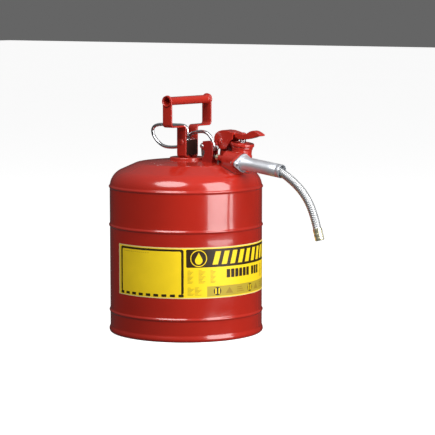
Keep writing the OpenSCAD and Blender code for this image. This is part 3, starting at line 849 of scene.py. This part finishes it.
def strap(name, side):
    line = [(5.5, 338.5), (13, 338.5)]
    line += arc2(13, 343, 4.5, -90, 0, 8)[1:]
    line += [(17.5, 391)]
    line += [(23.5 - 6 * cos(math.radians(a)), 391 + 6 * sin(math.radians(a)))
             for a in range(10, 91, 10)]
    line += [(54, 397)]
    line += arc2(54, 403, 6, -90, 0, 9)[1:]
    line += [(60, GRIP_Z)]
    path = even([Vector((0, y, z)) for y, z in line], 1.2)
    top = [Vector((0, 60, GRIP_Z + 10.98 * sin(math.radians(a)))) for a in range(0, 91, 5)]
    pts = [p for p in path if p.z < 445.4 or p.y < 59] + top
    verts, faces = [], []
    m = len(pts)
    half = 1.5
    rad = 0.9
    ring = []
    for k, (sx, sy) in enumerate(((1, 1), (-1, 1), (-1, -1), (1, -1))):
        for j in range(4):
            a = math.radians(90 * k + 30 * j)
            ring.append((sx, sy, cos(a), sin(a)))
    for i, p in enumerate(pts):
        t = (pts[min(i + 1, m - 1)] - pts[max(i - 1, 0)]).normalized()
        nrm = Vector((0, -t.z, t.y))
        w = 11.0
        if p.z > GRIP_Z:
            w = max(0.35, math.sqrt(max(0.0, 121 - (p.z - GRIP_Z) ** 2)))
        ww = max(w - rad, 0.05)
        for sx, sy, ca, sa in ring:
            x = HX + sx * ww + min(rad, w) * ca
            q = p + nrm * (sy * (half - rad) + rad * sa)
            verts.append((x * MM, side * q.y * MM, q.z * MM))
    n = len(ring)
    for i in range(m - 1):
        for k in range(n):
            k2 = (k + 1) % n
            faces.append([i * n + k, i * n + k2, (i + 1) * n + k2, (i + 1) * n + k])
    faces.append(list(range(n)))
    faces.append([(m - 1) * n + k for k in range(n)])
    ob = link(name, verts, faces, M_HANDLE, 45)
    cut = lathe("cutter", [(0, -8), (7.4, -8), (7.4, 8), (0, 8)], M_HANDLE, 48,
                axis_y(HX, GRIP_Z, side * 60))
    boolean(ob, cut)
    shade(ob, 45)
    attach(ob, "can")
    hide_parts("handle_strap_left" if side < 0 else "handle_strap_right")
    return ob


strap("strap_left", -1)
strap("strap_right", 1)

half_tube = [(8, 30), (8, 55.2), (8.3, 56.2), (9.3, 56.7), (9.5, 57.4), (9.2, 58.5), (8.05, 58.5),
             (8.05, 61.5), (8.6, 61.9), (9.6, 62.7), (10.2, 63.6), (10.15, 64.2), (9.6, 64.4),
             (8.6, 63.9), (7.6, 62.6), (7.0, 60.6)]
grip_line = ([(7.0, -60.6)] + [(r, -z) for r, z in reversed(half_tube[:-1])]
             + [(8, 0)] + half_tube)
grip = lathe("grip", grip_line, M_HANDLE, 64, axis_y(HX, GRIP_Z), sharp=60)
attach(grip, "can")
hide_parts("grip_tube")

rivets = []
rivet_line = [(0, 340)] + [(4 * cos(math.radians(a)), 340 + 1.7 * sin(math.radians(a)))
                           for a in range(0, 90, 15)] + [(0, 341.7)]
for sx in (-1, 1):
    for sy in (-1, 1):
        rivet_at = Matrix.Translation(((HX + sx * 6) * MM, sy * 9.5 * MM, 0))
        rivets.append(lathe("part", rivet_line, M_HANDLE, 24, rivet_at, closed=False))
foot_rivets = join("foot_rivets", rivets)
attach(foot_rivets, "can")
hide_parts("strap_rivets")

# ---------------------------------------------------------------- trigger
REAR = [(4, 370), (4, 380), (3.5, 388.5), (-1, 395), (-9, 397), (-26, 397), (-45, 397),
        (-62, 396.5), (-72, 395), (-79.5, 391.5), (-83, 385.5), (-82, 378), (-78, 371), (-71, 364),
        (-62, 358), (-52, 354.5), (-42, 353.5), (-28, 354), (-16, 356), (-7, 359.5), (0, 364)]
FRONT = [(6, 369), (8, 376), (15, 382), (26, 385.5), (38, 387), (48, 386), (56, 382), (62, 375.5),
         (66, 367.5), (69, 360), (70, 354.5)]
parts = [tube("part", even(smooth_curve([(x, 0, z) for x, z in REAR], 10), 1.0), 3.2, M_CHROME, 24),
         tube("part", even(smooth_curve([(x, 0, z) for x, z in FRONT], 10), 1.0), 3.15, M_CHROME, 24)]
parts.append(lathe("part", round_line([(3.06, -14.5), (6.5, -14.5), (6.5, 14.5), (3.06, 14.5)], 0.6, 3),
                   M_CHROME, 48, axis_y(HX, PIVOT_Z)))
trigger = join("trigger_wire", parts)
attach(trigger, "trigger")
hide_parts("trigger_lever")


def headed_pin(name, r, half, head_r, head_h, at, mat):
    """A pin across the spout's plane with a domed head at each end."""
    side = [(0, half + head_h)]
    side += [(head_r * sin(math.radians(a)), half + head_h * cos(math.radians(a)))
             for a in range(15, 91, 15)]
    side += [(r, half)]
    line = side + [(x, -z) for x, z in reversed(side)]
    return lathe(name, line, mat, 32, at, closed=False, sharp=40)


for name, r, half, head_r, head_h, at, node, slot, mat in (
    ("pivot_pin", 3.0, 19.0, 5.4, 2.2, axis_y(HX, PIVOT_Z), "trigger_pivot_pin", "plated_steel", M_HANDLE),
    ("crank_axle", 2.5, 9.1, 4.2, 1.8, axis_y(*CRANK), "crank_pin", "plated_steel", M_ZINC),
    ("lid_axle", 2.5, 14.8, 4.0, 1.6, axis_y(*HINGE, PORT_Y, True), "lid_hinge_pin", "plated_steel",
     M_CAST),
):
    ob = headed_pin(name, r, half, head_r, head_h, at, mat)
    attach(ob, "can")
    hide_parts(node)

# ---------------------------------------------------------------- spout
collar = [(11.6, 26.3), (15.2, 26.3), (15.2, 27.3), (12.7, 27.3), (12.7, 28.9), (14.4, 28.9),
          (14.7, 29.6), (14.7, 31.2), (14.2, 32.6), (13.2, 33.9), (12.7, 35.2), (12.7, 60),
          (12.7, 90), (12.7, 107.6), (12.25, 108.3), (12.2, 109.3), (12.25, 110.3), (12.7, 111.0),
          (12.7, 117.7), (12.45, 118.2), (12.1, 118.3), (11.8, 118.2), (11.6, 117.8), (11.6, 60)]
spout = lathe("spout_pipe", collar, M_SPOUT, 96, axis_x(0), sharp=45)
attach(spout, "can")
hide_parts("spout_tube")


def lozenge(r, e, reach):
    """A round plate of radius r with an ear of radius e on each side, reach from its centre."""
    n = 14
    a = math.degrees(math.acos((r - e) / reach))
    return (arc2(reach, 0, e, -a, a, n) + arc2(0, 0, r, a, 180 - a, n)
            + arc2(-reach, 0, e, 180 - a, 180 + a, n) + arc2(0, 0, r, 180 + a, 360 - a, n))


# A prism's x runs along y and its depth along the head's x, at the outlet's height.
FACE_TURN = Matrix(((0, 1, 0, 0), (1, 0, 0, 0), (0, 0, 1, OUTLET_Z * MM), (0, 0, 0, 1)))


def flange_body(name, r, e, x0, x1, bore, screw_r, mat, bev):
    ob = prism(name, lozenge(r, e, SCREW_Y), x0, x1, mat)
    cut = lathe("cutter", [(0, x0 - 3), (bore, x0 - 3), (bore, x1 + 3), (0, x1 + 3)], mat, 64,
                Matrix.Rotation(-pi / 2, 4, "X"))
    boolean(ob, cut)
    for s in (-1, 1):
        cut = lathe("cutter", [(0, x0 - 3), (screw_r, x0 - 3), (screw_r, x1 + 3), (0, x1 + 3)],
                    mat, 32, Matrix.Translation((s * SCREW_Y * MM, 0, 0))
                    @ Matrix.Rotation(-pi / 2, 4, "X"))
        boolean(ob, cut)
    bevel(ob, bev, 3, 45)
    shade(ob, 40)
    place(ob, HEAD @ FACE_TURN)
    fix_normals(ob)
    shade(ob, 40)
    return ob


flange = flange_body("flange_plate", 17.5, 6.5, 26.3, 28.8, 12.75, 2.6, M_SPOUT, 0.5)
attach(flange, "can")
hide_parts("spout_flange")

bolts = []
for s in (-1, 1):
    bolt = lathe("part", [(0, 15), (2.4, 15), (2.4, 28.8), (4.4, 28.8), (4.5, 29.4), (4.2, 30.6),
                          (3.2, 31.3), (0, 31.4)], M_ZINC, 32, closed=False)
    slot_cut = prism("cutter", [(-0.6, 30.3), (0.6, 30.3), (0.6, 33), (-0.6, 33)], -6, 6, M_ZINC)
    boolean(bolt, slot_cut)
    place(bolt, axis_x(0, OUTLET_Z, s * SCREW_Y))
    bolts.append(bolt)
flange_bolts = join("flange_bolts", bolts)
shade(flange_bolts, 35)
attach(flange_bolts, "can")
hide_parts("flange_screws")

# ---------------------------------------------------------------- fill cap
# Height of the cap's underside in the head's frame
CZ = 41.6
cap_line = round_line([
    (0, CZ + 1.6), (20.2, CZ + 1.6), (20.2, CZ), (21.7, CZ), (22.5, CZ + 0.9), (22.5, CZ + 5.2),
    (21.6, CZ + 6.2), (20.4, CZ + 6.2), (19.0, CZ + 4.4), (16.5, CZ + 3.3), (9.5, CZ + 3.4),
    (7, CZ + 6.4), (0, CZ + 6.4),
], 0.5, 3)
cap = lathe("cap_disc", cap_line, M_CAST, 96, head_z(0, PORT_Y, 0))
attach(cap, "lid")
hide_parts("fill_cap")


COIL_STEPS = 28


def coil(name, r, wire, z0, z1, turns, at):
    """A coil spring from z0 to z1 with a closed turn at each end."""
    pts = []
    steps = int(turns * COIL_STEPS)
    for k in range(steps + 1):
        t = k / steps
        a = 2 * pi * turns * t
        f = min(1.0, max(0.0, (t * turns - 0.8) / max(0.1, turns - 1.6)))
        pts.append((r * cos(a), r * sin(a), z0 + wire + (z1 - z0 - 2 * wire) * f))
    ob = tube(name, pts, wire, M_SPRING, 10)
    return place(ob, at)


cap_coil = coil("cap_coil", 5.4, 0.75, 48.05, 54.4, 4, head_z(0, PORT_Y, 0))
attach(cap_coil, "lid")
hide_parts("cap_spring")
lid_coils = join("lid_coils", [
    coil("part", 3.9, 0.6, 8.4, 11.2, 2.3, axis_y(*HINGE, PORT_Y, True)),
    coil("part", 3.9, 0.6, -11.2, -8.4, 2.3, axis_y(*HINGE, PORT_Y, True))])
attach(lid_coils, "can")
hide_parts("lid_springs")

coil_back = -8.9
coil_front = 8.1
valve_coil = coil("valve_coil", 7.4, 0.6, coil_back, coil_front, 6, axis_x(0))
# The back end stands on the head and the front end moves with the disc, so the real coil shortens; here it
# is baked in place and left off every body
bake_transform(valve_coil)
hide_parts("valve_spring")

# ---------------------------------------------------------------- castings
def block(x0, x1, y0, y1, z0, z1):
    return prism("part", [(x0, z0), (x1, z0), (x1, z1), (x0, z1)], y0, y1, M_CAST)


def rod_z(x, y, r, z0, z1):
    return lathe("part", [(0, z0), (r, z0), (r, z1), (0, z1)], M_CAST, 72,
                 Matrix.Translation((x * MM, y * MM, 0)), closed=False)


def rod_x(r, x0, x1, z=OUTLET_Z, y=0.0):
    turn = Matrix.Translation((0, y * MM, z * MM)) @ Matrix.Rotation(pi / 2, 4, "Y")
    return lathe("part", [(0, x0), (r, x0), (r, x1), (0, x1)], M_CAST, 72, turn, closed=False)


def rod_y(x, z, r, y0, y1):
    turn = Matrix.Translation((x * MM, 0, z * MM)) @ Matrix.Rotation(-pi / 2, 4, "X")
    return lathe("part", [(0, y0), (r, y0), (r, y1), (0, y1)], M_CAST, 48, turn, closed=False)


def casting(name, parts, voxel, steps, cuts):
    """Merge overlapping solids into one with soft inside corners, then machine the bores."""
    ob = join(name, parts)
    remesh(ob, voxel, steps)
    for cut in cuts:
        boolean(ob, cut)
    shade(ob, 38)
    return ob


def under_dome(lift):
    """Everything below the dome's face raised by lift, in the head's frame."""
    line = [(0, 250), (128, 250)] + [(r, dome_z(r) + lift) for r in (128, 120, 112, 104, 98, 95)]
    line += [(r, dome_z(r) + lift) for r in (80, 60, 40, 20)] + [(0, dome_z(0) + lift)]
    return lathe("cutter", line, M_CAST, 160, HEAD.inverted(), closed=False)


boss = prism("part", lozenge(18.5, 7, SCREW_Y), 20, 25.3, M_CAST)
place(boss, FACE_TURN)
fix_normals(boss)
lug_side = [(-44, 18), (-50, 44), (-36, 44), (-26, 26), (-26, 18)]
head_parts = [
    rod_z(0, PORT_Y, 19.3, -20, 41), rod_z(0, PORT_Y, 20.4, 37.2, 41), rod_z(0, PORT_Y, 20.7, 20, 25),
    rod_x(16.5, -13, 25.3), block(-13, 20, -14, 14, -20, OUTLET_Z), boss,
    block(-14, 14, 0, 28, -20, 24), block(-44, -10, 17, 39, -12, 27), block(-14, -4, 17, 39, 18, 27),
    prism("part", lug_side, 20, 36, M_CAST), rod_y(*HINGE, 7, 20, 36), rod_x(5.2, -31, -12),
]
head_cuts = [
    under_dome(1.2), rod_z(0, PORT_Y, 15, -40, 60), rod_z(0, 0, 9, -40, OUTLET_Z),
    rod_x(12, -9, 12),
    rod_x(9, 11, 40), rod_x(2.98, -36, -8), rod_y(*HINGE, 2.52, 10, 46),
    rod_x(2.4, 14, 34, OUTLET_Z, SCREW_Y), rod_x(2.4, 14, 34, OUTLET_Z, -SCREW_Y),
]
head_cast = casting("head_casting", head_parts, 0.85, 3, head_cuts)
place(head_cast, HEAD)
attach(head_cast, "can")
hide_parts("manifold")

LEVER_TOP = [(-56, 57), (-50, 62.5), (-42, 66), (-30, 67), (-20, 66), (-10, 65), (6, 65), (12, 67.8),
             (19, 73), (25, 75.5), (31, 75.5), (38, 73.5), (44.5, 70.8)]
TAB_UNDER = [(45.5, 69), (43, 67.5), (35, 65.8), (27, 62), (18, 58.5), (8, 55.5), (-6, 54.5)]
CHEEK = [(-52, 34), (-57, 40), (-58.5, 50), (-56, 57), (-50, 62.5), (-42, 66), (-30, 67), (-20, 66),
         (-15, 65.5), (-15, 53), (-20, 48), (-27, 33), (-34, 30), (-46, 30)]
WEB = [(-50, 62.5), (-42, 66), (-30, 67), (-20, 66), (-15, 65.5), (-15, 61.5), (-29, 63), (-41, 62.2),
       (-48, 59.4)]
arm = [q for q in LEVER_TOP if q[0] > -25] + TAB_UNDER + [(-15, 57), (-20, 61)]
lever = casting("lid_casting", [
    prism("part", CHEEK, 13.5, 16.5, M_CAST), prism("part", CHEEK, 39.5, 42.5, M_CAST),
    prism("part", WEB, 13.5, 42.5, M_CAST), prism("part", arm, 20.5, 35.5, M_CAST),
    rod_y(*HINGE, 6.8, 12.6, 16.5), rod_y(*HINGE, 6.8, 39.5, 43.4),
], 0.6, 3, [rod_y(*HINGE, 2.58, 5, 50), rod_y(*HINGE, 4.4, 5, 13.3), rod_y(*HINGE, 4.4, 42.7, 50),
            rod_z(0, PORT_Y, 3.62, 40, 80)])
place(lever, HEAD)
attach(lever, "lid")
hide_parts("lid_lever")

PLATE = [(46, 325), (69, 325), (71.5, 342), (72, 352), (71, 365), (67.5, 369.5), (51, 369.5),
         (50, 366.5), (46, 364.5), (46, 355.5), (53, 351.5), (53, 346), (46, 335)]
plates = []
for s in (-1, 1):
    y0, y1 = sorted((s * 6.1, s * 9.1))
    plates += [prism("part", PLATE, y0, y1, M_CAST), rod_y(*CRANK, 4.6, y0, y1)]
plates += [block(54, 69, -9.1, 9.1, 325, 335), block(48.5, 55, -9.1, 9.1, 366.7, 369.5)]
ground = under_dome(0.0)
place(ground, HEAD)
bracket = casting("bracket_casting", plates, 0.5, 2, [ground, rod_y(*CRANK, 2.52, -15, 15)])
# one coat of the darker red over the plates and their cut faces, painted shade for the shadow under the
# head
bracket.data.materials.clear()
bracket.data.materials.append(M_BRACKET_SHADED)
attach(bracket, "can")
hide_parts("crank_bracket")

# ---------------------------------------------------------------- carried-over CAD nodes
SLOT_MATS = {
    "can_red": M_CAN, "dome_red": M_DOME, "handle_red": M_HANDLE, "cast_red": M_CAST,
    "dark_enamel": M_PAINTED_SHADE, "label_print": M_YELLOW, "chrome_wire": M_CHROME, "plated_steel": M_ZINC,
    "spring_steel": M_SPRING, "seal_rubber": M_RUBBER, "screen_mesh": M_SCREEN,
    "spout_metal": M_SPOUT, "hose_metal": M_HOSE, "nozzle_brass": M_BRASS,
}
slot_of = {s["node"]: s["material_slot"] for s in frame["record"]["subparts"]}
for name, ob in nodes.items():
    mat = M_CAST if name == "cap_stud" else SLOT_MATS[slot_of[name]]
    if not ob.data.materials:
        ob.data.materials.append(mat)
    for i in range(len(ob.material_slots)):
        ob.material_slots[i].link = "OBJECT"
        ob.material_slots[i].material = mat

# a small worn edge on the CAD nodes that are shown as they are and can be seen
for name in ("neck_web", "valve_crank", "valve_stem", "stem_gland_nut", "pivot_washers", "cap_stud",
             "hose_ferrule", "manifold_gasket", "flange_gasket"):
    edge = nodes[name].modifiers.new("worn_edge", "BEVEL")
    edge.width = 0.25 * MM
    edge.segments = 2
    edge.limit_method = "ANGLE"
    edge.angle_limit = math.radians(45)

# ---------------------------------------------------------------- floor and light
def stage_plane(name, size, z, mat):
    me = bpy.data.meshes.new(name)
    s = size / 2
    me.from_pydata([(-s, -s, z), (s, -s, z), (s, s, z), (-s, s, z)], [], [[0, 1, 2, 3]])
    me.materials.append(mat)
    ob = bpy.data.objects.new(name, me)
    scene.collection.objects.link(ob)
    return ob


floor_mat, floor_tree, floor_shader = new_mat("floor_pale")
floor_tone = ramp(floor_tree, noise(floor_tree, 0.6, 2),
                  [(0.3, (0.66, 0.66, 0.66)), (0.7, (0.69, 0.69, 0.69))])
floor_tree.links.new(floor_tone, floor_shader.inputs["Base Color"])
floor_shader.inputs["Roughness"].default_value = 0.9
floor_shader.inputs["Specular IOR Level"].default_value = 0.1
floor_shader.inputs["Emission Color"].default_value = (1, 1, 1, 1)
floor_shader.inputs["Emission Strength"].default_value = 0.86
floor = stage_plane("floor", 40.0, -0.0006, floor_mat)
floor.visible_glossy = False
floor.visible_diffuse = False

# A dim room with a paler ceiling for reflections, and an even grey one for soft light.
world = bpy.data.worlds.new("studio")
world.use_nodes = True
scene.world = world
tree = world.node_tree
bg = tree.nodes["Background"]
light_path = tree.nodes.new("ShaderNodeLightPath")
direction = tree.nodes.new("ShaderNodeTexCoord")
split = tree.nodes.new("ShaderNodeSeparateXYZ")
tree.links.new(direction.outputs["Generated"], split.inputs["Vector"])
room_ramp = tree.nodes.new("ShaderNodeValToRGB")
el = room_ramp.color_ramp.elements
el[0].position = 0.0
el[0].color = (0.10, 0.10, 0.10, 1)
el[1].position = 1.0
el[1].color = (0.28, 0.28, 0.29, 1)
for pos, v in ((0.40, 0.05), (0.47, 0.03), (0.56, 0.06), (0.75, 0.14)):
    e = el.new(pos)
    e.color = (v, v, v, 1)
height = tree.nodes.new("ShaderNodeMapRange")
height.inputs["From Min"].default_value = -1
tree.links.new(split.outputs["Z"], height.inputs["Value"])
tree.links.new(height.outputs["Result"], room_ramp.inputs["Fac"])
by_ray = tree.nodes.new("ShaderNodeMix")
by_ray.data_type = "RGBA"
tree.links.new(light_path.outputs["Is Glossy Ray"], by_ray.inputs["Factor"])
by_ray.inputs[6].default_value = (0.13, 0.13, 0.13, 1)
tree.links.new(room_ramp.outputs["Color"], by_ray.inputs[7])
tree.links.new(by_ray.outputs[2], bg.inputs["Color"])
bg.inputs["Strength"].default_value = 1.0


def area(name, loc, target, w, h, power, shape="RECTANGLE"):
    d = bpy.data.lights.new(name, "AREA")
    d.shape = shape
    d.size = w
    d.size_y = h
    d.energy = power
    o = bpy.data.objects.new(name, d)
    o.location = loc
    o.rotation_euler = (Vector(target) - Vector(loc)).to_track_quat("-Z", "Y").to_euler()
    scene.collection.objects.link(o)
    return o


area("side_box", (1.5, 0.0, 1.02), (0, 0, 1.02), 1.1, 2.04, 46)
area("front_box", (0.25, -1.27, 1.67), (0, 0, 0.28), 1.4, 1.1, 28, "ELLIPSE")

scene.view_settings.view_transform = "Standard"
